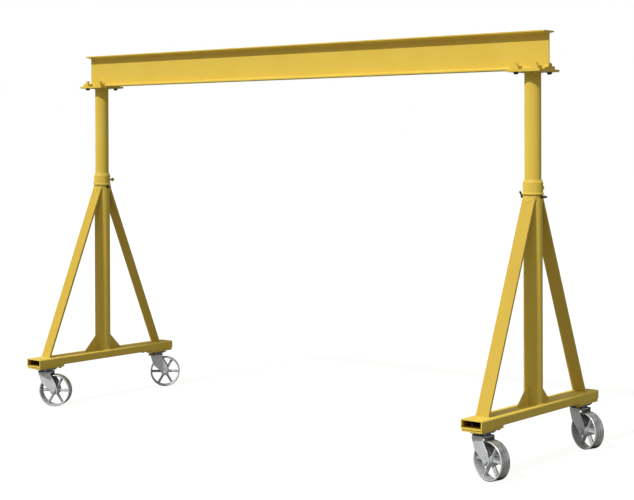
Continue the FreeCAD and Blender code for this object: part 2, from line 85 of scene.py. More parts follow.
def enamel(name, rolled, thick=ENAMEL_DEEP, usual=ENAMEL_YELLOW):
    """Yellow enamel on rolled steel: rolled is how far the mill's marks stretch along X, Y and Z,
    and thick and usual are the colours of its heavy and its common coat."""
    material = bpy.data.materials.new(name)
    material.use_nodes = True
    tree = material.node_tree
    tree.nodes.clear()
    place = add_node(tree, "ShaderNodeTexCoord").outputs["Object"]
    stretched = add_node(
        tree, "ShaderNodeMapping", inputs={"Vector": place, "Scale": [1 / r for r in rolled]}
    ).outputs["Vector"]
    # cloudy coats about 180 mm across; rolling marks 7 mm wide and orange peel 9 mm across, both
    # drawn coarser than real ones of 2 and 3 mm, so that they show
    coats = add_node(tree, "ShaderNodeTexNoise", inputs={"Vector": place, "Scale": 5.5, "Detail": 3.0})
    marks = add_node(
        tree, "ShaderNodeTexNoise", inputs={"Vector": stretched, "Scale": 140.0, "Detail": 2.0}
    )
    peel = add_node(tree, "ShaderNodeTexNoise", inputs={"Vector": place, "Scale": 110.0, "Detail": 1.0})
    film = add_node(
        tree,
        "ShaderNodeMix",
        {"data_type": "RGBA"},
        {0: coats.outputs["Fac"], 6: linear(thick), 7: linear(usual)},
    )
    # rounded edges: where the eased normal leaves the flat one, the film is thin and pale
    eased = add_node(tree, "ShaderNodeBevel", {"samples": 6}, {"Radius": 0.0022}).outputs["Normal"]
    flat = add_node(tree, "ShaderNodeNewGeometry").outputs["Normal"]
    alike = add_node(tree, "ShaderNodeVectorMath", {"operation": "DOT_PRODUCT"}, {0: eased, 1: flat})
    edge = add_node(
        tree,
        "ShaderNodeMapRange",
        inputs={"Value": alike.outputs["Value"], "From Min": 1.0, "From Max": 0.8, "To Max": 0.55},
    )
    thinned = add_node(
        tree,
        "ShaderNodeMix",
        {"data_type": "RGBA"},
        {0: edge.outputs["Result"], 6: film.outputs[2], 7: linear(ENAMEL_THIN)},
    )
    # painted shade: where the surface is hemmed in within 25 mm, in corners and under ledges, the colour
    # darkens towards a dull olive
    corner = add_node(tree, "ShaderNodeAmbientOcclusion", {"samples": 6}, {"Distance": 0.025})
    corner_shade = add_node(
        tree,
        "ShaderNodeMapRange",
        inputs={"Value": corner.outputs["AO"], "From Min": 0.5, "From Max": 0.1, "To Max": 0.3},
    )
    colour = add_node(
        tree,
        "ShaderNodeMix",
        {"data_type": "RGBA"},
        {0: corner_shade.outputs["Result"], 6: thinned.outputs[2], 7: linear(ENAMEL_CORNER_SHADE)},
    )
    gloss = add_node(
        tree,
        "ShaderNodeMapRange",
        inputs={"Value": marks.outputs["Fac"], "To Min": 0.36, "To Max": 0.52},
    )
    ridges = add_node(
        tree,
        "ShaderNodeBump",
        inputs={"Strength": 0.12, "Distance": 0.0006, "Height": marks.outputs["Fac"], "Normal": eased},
    )
    wavy = add_node(
        tree,
        "ShaderNodeBump",
        inputs={
            "Strength": 0.22,
            "Distance": 0.0005,
            "Height": peel.outputs["Fac"],
            "Normal": ridges.outputs["Normal"],
        },
    )
    paint = add_node(
        tree,
        "ShaderNodeBsdfPrincipled",
        inputs={
            "Base Color": colour.outputs[2],
            "Roughness": gloss.outputs["Result"],
            "Diffuse Roughness": 0.7,
            "Specular IOR Level": 0.2,
            "Normal": wavy.outputs["Normal"],
        },
    )
    add_node(tree, "ShaderNodeOutputMaterial", inputs={"Surface": paint.outputs["BSDF"]})
    return material


def finish_node(node, material):
    """Give a CAD node its finish."""
    mesh = nodes[node].data
    mesh.materials.clear()
    mesh.materials.append(material)


beam_enamel = enamel("enamel_on_rolled_beam", (40.0, 1.0, 1.0))
finish_node("main_beam", beam_enamel)


# Head plates and beam clips
# A square plate is welded on each mast. Four stepped steel clips, each with one 5/8 in hex bolt up
# through the plate, pinch the beam's bottom flange. The plates, clips and nuts were sprayed once
# they were bolted up; so were two of the four heads underneath, and two kept their black oxide.

plate_enamel = enamel("enamel_on_steel_plate", (1.0, 1.0, 1.0))
for side in SIDES:
    finish_node(f"{side}_head_plate", plate_enamel)
    finish_node(f"{side}_beam_clips", plate_enamel)


def new_tree(name, sizes):
    """A Geometry Nodes tree with named inputs: sizes maps each name to its socket type."""
    tree = bpy.data.node_groups.new(name, "GeometryNodeTree")
    for word, kind in {"Geometry": "Geometry", **sizes, "Material": "Material"}.items():
        tree.interface.new_socket(name=word, in_out="INPUT", socket_type=f"NodeSocket{kind}")
    tree.interface.new_socket(name="Geometry", in_out="OUTPUT", socket_type="NodeSocketGeometry")
    return tree, add_node(tree, "NodeGroupInput").outputs


def maths(tree, operation, *values):
    """The result of one sum in a tree."""
    return add_node(tree, "ShaderNodeMath", {"operation": operation}, dict(enumerate(values))).outputs[0]


def close_tree(tree, geometry, material):
    """End a tree: real meshes instead of instances, in their material."""
    real = add_node(tree, "GeometryNodeRealizeInstances", inputs={"Geometry": geometry})
    painted = add_node(
        tree, "GeometryNodeSetMaterial", inputs={"Geometry": real.outputs[0], "Material": material}
    )
    add_node(tree, "NodeGroupOutput", inputs={0: painted.outputs[0]})


def grow(name, host_mesh, tree, body, slot, **sizes):
    """Run a tree on a host mesh and keep its result as a plain piece that rides on a body."""
    host = bpy.data.objects.new(name, host_mesh)
    bpy.context.scene.collection.objects.link(host)
    modifier = host.modifiers.new("growth", "NODES")
    modifier.node_group = tree
    sockets = {s.name: s.identifier for s in tree.interface.items_tree if s.in_out == "INPUT"}
    for word, value in sizes.items():
        modifier[sockets[word.replace("_", " ")]] = value
    grown = bpy.data.meshes.new_from_object(host.evaluated_get(bpy.context.evaluated_depsgraph_get()))
    bpy.data.objects.remove(host)
    piece = bpy.data.objects.new(name, grown)
    bpy.context.scene.collection.objects.link(piece)
    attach(piece, body)
    return piece


def fastener_tree():
    """A chamfered hex on a washer at each point, with the screw's threaded end through it."""
    tree, given = new_tree(
        "hex_fastener",
        {
            "Flats": "Float",
            "Height": "Float",
            "Washer": "Float",
            "Washer Height": "Float",
            "Thread": "Float",
            "Pitch": "Float",
            "Reach": "Float",
            "Seed": "Int",
        },
    )
    blank_sides, sixth = 36, math.pi / 3
    # the chamfer starts at 94 percent of the flats; the thread's core is 44 percent of its width in
    # radius, its tooth 48 percent of the pitch; the ridge starts inside the nut, 85 percent up
    chamfer_from, core_share, tooth_share, hidden_share = 0.94, 0.44, 0.48, 0.85
    flats = maths(tree, "MULTIPLY", given["Flats"], 0.5)
    blank = add_node(
        tree,
        "GeometryNodeMeshCylinder",
        {"fill_type": "TRIANGLE_FAN"},
        {"Vertices": blank_sides, "Side Segments": 1, "Fill Segments": 3, "Radius": 1.0, "Depth": 1.0},
    )
    split = add_node(
        tree, "ShaderNodeSeparateXYZ", inputs={0: add_node(tree, "GeometryNodeInputPosition").outputs[0]}
    ).outputs
    angle = maths(tree, "ARCTAN2", split["Y"], split["X"])
    folded = maths(
        tree,
        "SUBTRACT",
        maths(tree, "FLOORED_MODULO", maths(tree, "ADD", angle, sixth / 2), sixth),
        sixth / 2,
    )
    stretch = maths(tree, "DIVIDE", flats, maths(tree, "COSINE", folded))
    span = add_node(tree, "ShaderNodeCombineXYZ", inputs={"X": split["X"], "Y": split["Y"]}).outputs[0]
    radius = maths(
        tree,
        "MULTIPLY",
        stretch,
        add_node(tree, "ShaderNodeVectorMath", {"operation": "LENGTH"}, {0: span}).outputs["Value"],
    )
    chamfer_foot = maths(tree, "MULTIPLY", flats, chamfer_from)
    over = maths(tree, "MAXIMUM", maths(tree, "SUBTRACT", radius, chamfer_foot), 0.0)
    chamfer = maths(tree, "MULTIPLY", over, math.tan(math.radians(30)))
    crown = maths(tree, "SUBTRACT", given["Height"], chamfer)
    level = maths(
        tree,
        "ADD",
        maths(tree, "MULTIPLY", maths(tree, "ADD", split["Z"], 0.5), crown),
        given["Washer Height"],
    )
    shaped = add_node(
        tree,
        "ShaderNodeCombineXYZ",
        inputs={
            "X": maths(tree, "MULTIPLY", split["X"], stretch),
            "Y": maths(tree, "MULTIPLY", split["Y"], stretch),
            "Z": level,
        },
    )
    head = add_node(
        tree,
        "GeometryNodeSetPosition",
        inputs={"Geometry": blank.outputs["Mesh"], "Position": shaped.outputs[0]},
    )
    disc = add_node(
        tree,
        "GeometryNodeMeshCylinder",
        inputs={
            "Vertices": 32,
            "Radius": maths(tree, "MULTIPLY", given["Washer"], 0.5),
            "Depth": given["Washer Height"],
        },
    )
    lift = add_node(
        tree,
        "ShaderNodeCombineXYZ",
        inputs={"Z": maths(tree, "MULTIPLY", given["Washer Height"], 0.5)},
    )
    washer = add_node(
        tree,
        "GeometryNodeTransform",
        inputs={"Geometry": disc.outputs["Mesh"], "Translation": lift.outputs[0]},
    )
    # the bolt's end: a core, and a helical ridge for its thread
    core_radius = maths(tree, "MULTIPLY", given["Thread"], core_share)
    core = add_node(
        tree,
        "GeometryNodeMeshCylinder",
        inputs={"Vertices": 24, "Radius": core_radius, "Depth": given["Reach"]},
    )
    core_lift = add_node(
        tree, "ShaderNodeCombineXYZ", inputs={"Z": maths(tree, "MULTIPLY", given["Reach"], 0.5)}
    )
    core_up = add_node(
        tree,
        "GeometryNodeTransform",
        inputs={"Geometry": core.outputs["Mesh"], "Translation": core_lift.outputs[0]},
    )
    ridge_foot = maths(
        tree, "ADD", given["Washer Height"], maths(tree, "MULTIPLY", given["Height"], hidden_share)
    )
    ridge_tall = maths(
        tree, "MAXIMUM", maths(tree, "SUBTRACT", given["Reach"], ridge_foot), 0.0001
    )
    helix = add_node(
        tree,
        "GeometryNodeCurveSpiral",
        inputs={
            "Resolution": 20,
            "Rotations": maths(tree, "DIVIDE", ridge_tall, given["Pitch"]),
            "Start Radius": core_radius,
            "End Radius": core_radius,
            "Height": ridge_tall,
        },
    )
    tooth = add_node(
        tree,
        "GeometryNodeCurvePrimitiveCircle",
        inputs={"Resolution": 4, "Radius": maths(tree, "MULTIPLY", given["Pitch"], tooth_share)},
    )
    ridge = add_node(
        tree,
        "GeometryNodeCurveToMesh",
        inputs={"Curve": helix.outputs[0], "Profile Curve": tooth.outputs[0], "Fill Caps": True},
    )
    ridge_lift = add_node(tree, "ShaderNodeCombineXYZ", inputs={"Z": ridge_foot})
    ridge_up = add_node(
        tree,
        "GeometryNodeTransform",
        inputs={"Geometry": ridge.outputs[0], "Translation": ridge_lift.outputs[0]},
    )
    through = add_node(tree, "GeometryNodeJoinGeometry")
    tree.links.new(core_up.outputs[0], through.inputs[0])
    tree.links.new(ridge_up.outputs[0], through.inputs[0])
    bolt_end = add_node(
        tree,
        "GeometryNodeSwitch",
        {"input_type": "GEOMETRY"},
        {
            "Switch": add_node(
                tree,
                "FunctionNodeCompare",
                {"data_type": "FLOAT", "operation": "GREATER_THAN"},
                {0: given["Reach"], 1: ridge_foot},
            ).outputs[0],
            "True": through.outputs[0],
        },
    )
    whole = add_node(tree, "GeometryNodeJoinGeometry")
    for part in (head, washer, bolt_end):
        tree.links.new(part.outputs[0], whole.inputs[0])
    outward = add_node(
        tree, "GeometryNodeInputNamedAttribute", {"data_type": "FLOAT_VECTOR"}, {"Name": "outward"}
    )
    upright = add_node(
        tree, "FunctionNodeAlignRotationToVector", {"axis": "Z"}, {"Vector": outward.outputs[0]}
    )
    chance = add_node(
        tree,
        "FunctionNodeRandomValue",
        {"data_type": "FLOAT"},
        {2: 0.0, 3: 2 * math.pi, "Seed": given["Seed"]},
    )
    spin = add_node(
        tree,
        "FunctionNodeAxisAngleToRotation",
        inputs={"Axis": (0.0, 0.0, 1.0), "Angle": chance.outputs[1]},
    )
    turned = add_node(
        tree,
        "FunctionNodeRotateRotation",
        {"rotation_space": "LOCAL"},
        {0: upright.outputs[0], 1: spin.outputs[0]},
    )
    placed = add_node(
        tree,
        "GeometryNodeInstanceOnPoints",
        inputs={
            "Points": given["Geometry"],
            "Instance": whole.outputs[0],
            "Rotation": turned.outputs[0],
        },
    )
    close_tree(tree, placed.outputs[0], given["Material"])
    return tree


hex_fasteners = fastener_tree()


def seats_mesh(seats):
    """Points where fasteners sit, each with the direction that it faces."""
    mesh = bpy.data.meshes.new("seats")
    mesh.from_pydata([tuple(spot) for spot, _ in seats], [], [])
    outward = mesh.attributes.new("outward", "FLOAT_VECTOR", "POINT")
    for i, (_, way) in enumerate(seats):
        outward.data[i].vector = way
    return mesh


OXIDE_TONES = ("#453B33", "#6A5D52")
# painted shade: the near-black that bare and plated metal darkens towards in hollows
METAL_HOLLOW_SHADE = "#2E2C2A"


def metal_finish(name, tones, gloss, grain, lay=(1.0, 1.0, 1.0), seat=None, metallic=1.0, relief=0.0001):
    """Bare, plated or silver-painted metal: its two tones in clouds 40 mm across, its least and most
    roughness, the size of its grain in metres, drawn out along lay, and how deep the grain is. The
    seat is a place and a turn about Z that the pattern is measured from."""
    material = bpy.data.materials.new(name)
    material.use_nodes = True
    tree = material.node_tree
    tree.nodes.clear()
    place = add_node(tree, "ShaderNodeTexCoord").outputs["Object"]
    if seat:
        place = add_node(
            tree,
            "ShaderNodeMapping",
            {"vector_type": "TEXTURE"},
            {"Vector": place, "Location": seat[0], "Rotation": (0.0, 0.0, seat[1])},
        ).outputs["Vector"]
    stretched = add_node(
        tree, "ShaderNodeMapping", inputs={"Vector": place, "Scale": [1 / way for way in lay]}
    ).outputs["Vector"]
    clouds = add_node(tree, "ShaderNodeTexNoise", inputs={"Vector": place, "Scale": 25.0, "Detail": 3.0})
    grains = add_node(
        tree, "ShaderNodeTexNoise", inputs={"Vector": stretched, "Scale": 1 / grain, "Detail": 2.0}
    )
    mottle = add_node(
        tree,
        "ShaderNodeMix",
        {"data_type": "FLOAT"},
        {0: 0.5, 2: clouds.outputs["Fac"], 3: grains.outputs["Fac"]},
    )
    spread = add_node(
        tree,
        "ShaderNodeMapRange",
        inputs={"Value": mottle.outputs[0], "From Min": 0.35, "From Max": 0.65},
    )
    tone = add_node(
        tree,
        "ShaderNodeMix",
        {"data_type": "RGBA"},
        {0: spread.outputs["Result"], 6: linear(tones[0]), 7: linear(tones[1])},
    )
    # painted shade: where the surface is hemmed in within 50 mm, in corners and the wheels' hollows, the
    # colour darkens towards near-black
    corner = add_node(tree, "ShaderNodeAmbientOcclusion", {"samples": 6}, {"Distance": 0.05})
    hollow_shade = add_node(
        tree,
        "ShaderNodeMapRange",
        inputs={"Value": corner.outputs["AO"], "From Min": 0.9, "From Max": 0.25, "To Max": 0.9},
    )
    colour = add_node(
        tree,
        "ShaderNodeMix",
        {"data_type": "RGBA"},
        {0: hollow_shade.outputs["Result"], 6: tone.outputs[2], 7: linear(METAL_HOLLOW_SHADE)},
    )
    rough = add_node(
        tree,
        "ShaderNodeMapRange",
        inputs={"Value": mottle.outputs[0], "To Min": gloss[0], "To Max": gloss[1]},
    )
    eased = add_node(tree, "ShaderNodeBevel", {"samples": 6}, {"Radius": 0.0012}).outputs["Normal"]
    raised = add_node(
        tree,
        "ShaderNodeBump",
        inputs={"Strength": 0.6, "Distance": relief, "Height": grains.outputs["Fac"], "Normal": eased},
    )
    metal = add_node(
        tree,
        "ShaderNodeBsdfPrincipled",
        inputs={
            "Base Color": colour.outputs[2],
            "Metallic": metallic,
            "Roughness": rough.outputs["Result"],
            "Normal": raised.outputs["Normal"],
        },
    )
    add_node(tree, "ShaderNodeOutputMaterial", inputs={"Surface": metal.outputs["BSDF"]})
    return material


# hot black oxide on a forged head: a dull brown-black skin, faintly mottled every 2 mm
black_oxide = metal_finish("black_oxide_on_steel", OXIDE_TONES, (0.38, 0.55), 0.002)

UP, DOWN = Vector((0, 0, 1)), Vector((0, 0, -1))
CLIP_BOLT = dict(Flats=0.0238, Washer=0.033, Washer_Height=0.0025, Thread=0.0159, Pitch=0.0023)
# the bolts stand this far in from the clips' outer corners
CLIP_BOLT_INSET = Vector((0.0222, 0.019, 0.0))
for i, side in enumerate(SIDES):
    clips_low, clips_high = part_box(f"{side}_beam_clips")
    plate_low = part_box(f"{side}_head_plate")[0]
    bolt_low, bolt_high = clips_low + CLIP_BOLT_INSET, clips_high - CLIP_BOLT_INSET
    dark_spots = [Vector((p.x, p.y, 0)) for p in (bolt_low, bolt_high)]
    sprayed_spots = [Vector((bolt_high.x, bolt_low.y, 0)), Vector((bolt_low.x, bolt_high.y, 0))]
    for kind, spots, finish, slot in (
        ("dark", dark_spots, black_oxide, "black_steel"),
        ("sprayed", sprayed_spots, plate_enamel, "safety_paint"),
    ):
        grow(
            f"{side}_{kind}_clip_bolt_heads",
            seats_mesh([(spot + UP * plate_low.z, DOWN) for spot in spots]),
            hex_fasteners,
            "beam_frame",
            slot,
            Height=0.0099,
            Reach=0.0,
            Seed=11 + i,
            Material=finish,
            **CLIP_BOLT,
        )
    grow(
        f"{side}_clip_bolt_nuts",
        seats_mesh([(spot + UP * clips_high.z, UP) for spot in dark_spots + sprayed_spots]),
        hex_fasteners,
        "beam_frame",
        "safety_paint",
        Height=0.0136,
        Reach=0.0185,
        Seed=21 + i,
        Material=plate_enamel,
        **CLIP_BOLT,
    )


# Masts and sleeves
# Two lengths of steel pipe, 3 in inside 3 1/2 in. The mast's top is welded to the head plate, and
# a collar rings the sleeve's mouth. All carry the same enamel, over the pipe mill's marks that run
# up them.

pipe_enamel = enamel("enamel_on_steel_pipe", (1.0, 1.0, 40.0))
for side in SIDES:
    for node in ("mast", "sleeve", "collar"):
        finish_node(f"{side}_{node}", pipe_enamel)


def weld_tree():
    """A rippled bead along each path, tapered where the path ends."""
    tree, given = new_tree("weld_bead", {"Throat": "Float", "Ripple": "Float", "Seed": "Int"})
    path = add_node(tree, "GeometryNodeMeshToCurve", inputs={"Mesh": given["Geometry"]})
    even = add_node(
        tree,
        "GeometryNodeResampleCurve",
        {"mode": "LENGTH"},
        {"Curve": path.outputs[0], "Length": maths(tree, "DIVIDE", given["Ripple"], 4.0)},
    )
    along = add_node(tree, "GeometryNodeSplineParameter").outputs["Length"]
    total = add_node(tree, "GeometryNodeSplineLength").outputs["Length"]
    wave = maths(
        tree, "SINE", maths(tree, "DIVIDE", along, maths(tree, "DIVIDE", given["Ripple"], 2 * math.pi))
    )
    place = add_node(tree, "GeometryNodeInputPosition").outputs[0]
    drift = add_node(
        tree,
        "ShaderNodeTexNoise",
        {"noise_dimensions": "4D"},
        {"Vector": place, "W": given["Seed"], "Scale": 60.0},
    )
    # the bead swells by a tenth at each ripple, drifts more over about 17 mm, and tapers over 8 mm
    swell = maths(tree, "MULTIPLY_ADD", wave, 0.10, 0.80)
    uneven = maths(tree, "MULTIPLY_ADD", drift.outputs["Fac"], 0.4, swell)
    left = maths(tree, "SUBTRACT", total, along)
    cyclic = add_node(tree, "GeometryNodeInputSplineCyclic").outputs[0]
    nearest = maths(tree, "ADD", maths(tree, "MINIMUM", along, left), cyclic)
    taper = add_node(
        tree,
        "ShaderNodeMapRange",
        {"interpolation_type": "SMOOTHSTEP"},
        {"Value": nearest, "From Max": 0.008, "To Min": 0.45, "To Max": 1.0},
    )
    size = maths(tree, "MULTIPLY", maths(tree, "MULTIPLY", uneven, taper.outputs[0]), given["Throat"])
    section = add_node(
        tree, "GeometryNodeCurvePrimitiveCircle", inputs={"Resolution": 8, "Radius": 1.0}
    )
    bead = add_node(
        tree,
        "GeometryNodeCurveToMesh",
        inputs={
            "Curve": even.outputs[0],
            "Profile Curve": section.outputs[0],
            "Scale": size,
            "Fill Caps": True,
        },
    )
    smooth = add_node(tree, "GeometryNodeSetShadeSmooth", inputs={"Geometry": bead.outputs[0]})
    close_tree(tree, smooth.outputs[0], given["Material"])
    return tree


weld_beads = weld_tree()


def paths_mesh(paths):
    """Polylines as loose edges: each path is its points and whether it closes."""
    mesh = bpy.data.meshes.new("paths")
    points, edges = [], []
    for path, closed in paths:
        start = len(points)
        points += [tuple(p) for p in path]
        edges += [(start + i, start + i + 1) for i in range(len(path) - 1)]
        if closed:
            edges.append((len(points) - 1, start))
    mesh.from_pydata(points, edges, [])
    return mesh


def circle_path(middle, radius):
    """A level ring of points, closed."""
    count = 64
    turns = [2 * math.pi * i / count for i in range(count)]
    return [middle + Vector((math.cos(a), math.sin(a), 0)) * radius for a in turns], True


def weld(name, paths, body, seed, throat=0.0045):
    """Beads along some paths, rippled every 4.5 mm and sprayed with the plates."""
    return grow(
        name,
        paths_mesh(paths),
        weld_beads,
        body,
        "safety_paint",
        Throat=throat,
        Ripple=0.0045,
        Seed=seed,
        Material=plate_enamel,
    )


def half_size(node):
    """Half a node's size along X, Y and Z."""
    low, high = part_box(node)
    return (high - low) / 2


# a ring bead's middle is this far out from its corner
BEAD_OUT = 0.001
mast_radius, sleeve_radius = half_size("left_mast").x, half_size("left_sleeve").x
leg_middle = {}
for i, side in enumerate(SIDES):
    low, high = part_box(f"{side}_mast")
    leg_middle[side] = Vector((*((low + high) / 2).xy, 0))
    ring = circle_path(leg_middle[side] + UP * high.z + DOWN * BEAD_OUT, mast_radius + BEAD_OUT)
    weld(f"{side}_mast_weld", [ring], "beam_frame", 31 + i)


# Height pins and lock screws
# A 5/8 in steel pin with a bent handle, turned and blackened, goes through sleeve and mast under
# the collar. A screw with a lobed cast knob presses on the mast; it was sprayed with the collar.

# the same oxide over turning marks 1.2 mm apart that run round the pin, a little glossier
turned_oxide = metal_finish(
    "turned_black_oxide", OXIDE_TONES, (0.30, 0.48), 0.0012, lay=(1.0, 30.0, 30.0)
)


def turned_mesh(name, profile, sides, lobes, dip):
    """A solid turned about Z from (radius, height) pairs; lobes scallop its rim where it is widest,
    dip deep."""
    shape = bmesh.new()
    widest = max(radius for radius, _ in profile)
    rings = []
    for radius, height in profile:
        ring = []
        for i in range(sides):
            turn = 2 * math.pi * i / sides
            hollow = dip * (radius / widest) ** 8 * (0.5 + 0.5 * math.cos(lobes * turn))
            reach = radius - hollow
            ring.append(shape.verts.new((reach * math.cos(turn), reach * math.sin(turn), height)))
        rings.append(ring)
    for low, high in zip(rings, rings[1:]):
        for i in range(sides):
            j = (i + 1) % sides
            shape.faces.new((low[i], low[j], high[j], high[i]))
    shape.faces.new(list(reversed(rings[0])))
    shape.faces.new(rings[-1])
    bmesh.ops.recalc_face_normals(shape, faces=shape.faces)
    mesh = bpy.data.meshes.new(name)
    shape.to_mesh(mesh)
    shape.free()
    return mesh


def add_piece(name, mesh, material, body):
    """A finished mesh as a piece that rides on a body."""
    mesh.materials.clear()
    mesh.materials.append(material)
    piece = bpy.data.objects.new(name, mesh)
    bpy.context.scene.collection.objects.link(piece)
    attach(piece, body)
    return piece


# the knob's profile from its seat to its face, as radius and height; 0.4 mm flats close its poles
KNOB = [
    (0.0004, -0.0100), (0.0095, -0.0100), (0.0112, -0.0092), (0.0128, -0.0075), (0.0130, -0.0050),
    (0.0128, -0.0025), (0.0112, -0.0008), (0.0080, 0.0000), (0.0030, 0.0000), (0.0004, 0.0000),
]
KNOB_LOBES, LOBE_DIP = 9, 0.0016
# the nut bears on the collar's band, inside its lip; the screw's thread ends inside the knob
LIP_OUT, THREAD_HIDDEN = 0.0045, 0.006
for i, side in enumerate(SIDES):
    finish_node(f"{side}_height_pin", turned_oxide)
    screw_low, screw_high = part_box(f"{side}_lock_screw")
    nut_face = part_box(f"{side}_collar")[1].y - LIP_OUT
    seat = (screw_low + screw_high) / 2
    knob = turned_mesh(f"{side}_lock_knob", KNOB, 72, KNOB_LOBES, LOBE_DIP)
    knob.transform(
        Matrix.Translation((seat.x, screw_high.y, seat.z)) @ Matrix.Rotation(-math.pi / 2, 4, "X")
    )
    for face in knob.polygons:
        face.use_smooth = True
    knob_piece = add_piece(f"{side}_lock_knob", knob, plate_enamel, f"{side}_leg")
    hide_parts(f"{side}_lock_screw")
    grow(
        f"{side}_lock_screw_thread",
        seats_mesh([(Vector((seat.x, nut_face, seat.z)), Vector((0, 1, 0)))]),
        hex_fasteners,
        f"{side}_leg",
        "safety_paint",
        Flats=0.0205,
        Height=0.0120,
        Washer=0.0204,
        Washer_Height=0.0010,
        Thread=0.0127,
        Pitch=0.0020,
        Reach=screw_high.y - THREAD_HIDDEN - nut_face,
        Seed=51 + i,
        Material=plate_enamel,
    )


# Base tubes, braces, gussets and pads
# Each leg stands on a length of 5 by 2 in rectangular tube. Flat bars brace it both ways, small
# plates stiffen its foot, and a pad under each end takes a caster. All is welded, then sprayed.

tube_enamel = enamel("enamel_on_drawn_tube", (1.0, 40.0, 1.0))
# painted shade: the bars' enamel is drawn darker than the rest, to offset the stronger sun on their
# upward-tilted faces
BAR_SHADED_DEEP, BAR_SHADED_USUAL = "#D4B440", "#DCBF4F"
shade_deepened_bar_enamel = enamel("shade_deepened_enamel_on_flat_bar", (1.0, 1.0, 1.0), BAR_SHADED_DEEP, BAR_SHADED_USUAL)
# the spray went only 30 mm into the tubes: further in they are dark with scale
TUBE_SCALE, TUBE_WALL, SPRAY_FULL, SPRAY_REACH = "#7A5618", 0.00635, 0.005, 0.030


def leave_inside_bare(material):
    """Turn the paint to scale on the walls inside the base tubes, past the reach of the spray."""
    tree = material.node_tree
    paint = next(node for node in tree.nodes if node.bl_idname == "ShaderNodeBsdfPrincipled")
    sprayed = paint.inputs["Base Color"].links[0].from_socket
    place = add_node(tree, "ShaderNodeTexCoord").outputs["Object"]
    at = add_node(tree, "ShaderNodeSeparateXYZ", inputs={0: place}).outputs
    low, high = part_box("right_base_tube")
    middle, half = (low + high) / 2, (high - low) / 2
    # a point is inside where it lies deeper than this under the tube's outer faces
    under = TUBE_WALL - 0.0004
    from_centre = maths(tree, "ABSOLUTE", at["X"])
    off_side = maths(tree, "ABSOLUTE", maths(tree, "SUBTRACT", from_centre, middle.x))
    off_level = maths(tree, "ABSOLUTE", maths(tree, "SUBTRACT", at["Z"], middle.z))
    within = maths(
        tree,
        "MULTIPLY",
        maths(tree, "LESS_THAN", off_side, half.x - under),
        maths(tree, "LESS_THAN", off_level, half.z - under),
    )
    deep = add_node(
        tree,
        "ShaderNodeMapRange",
        inputs={
            "Value": maths(tree, "ABSOLUTE", at["Y"]),
            "From Min": half.y - SPRAY_FULL,
            "From Max": half.y - SPRAY_REACH,
            "To Max": 1.0,
        },
    )
    bare = maths(tree, "MULTIPLY", within, deep.outputs["Result"])
    lined = add_node(
        tree, "ShaderNodeMix", {"data_type": "RGBA"}, {0: bare, 6: sprayed, 7: linear(TUBE_SCALE)}
    )
    tree.links.new(lined.outputs[2], paint.inputs["Base Color"])


leave_inside_bare(tube_enamel)
for side in SIDES:
    finish_node(f"{side}_base_tube", tube_enamel)
    for end in ENDS:
        # the braces take the darker enamel, painted shade
        finish_node(f"{side}_{end}_brace", shade_deepened_bar_enamel)
        for part in ("gusset", "pad"):
            finish_node(f"{side}_{end}_{part}", plate_enamel)

# pad bolts, in from the pad's inner edge and out from its middle; the bar's thickness, and how far
# its edges stand out of the sleeve at the top
PAD_BOLT_IN, PAD_BOLT_OUT = 0.018, 0.040
BRACE_THICK, BRACE_SHOW = 0.0127, 0.0021
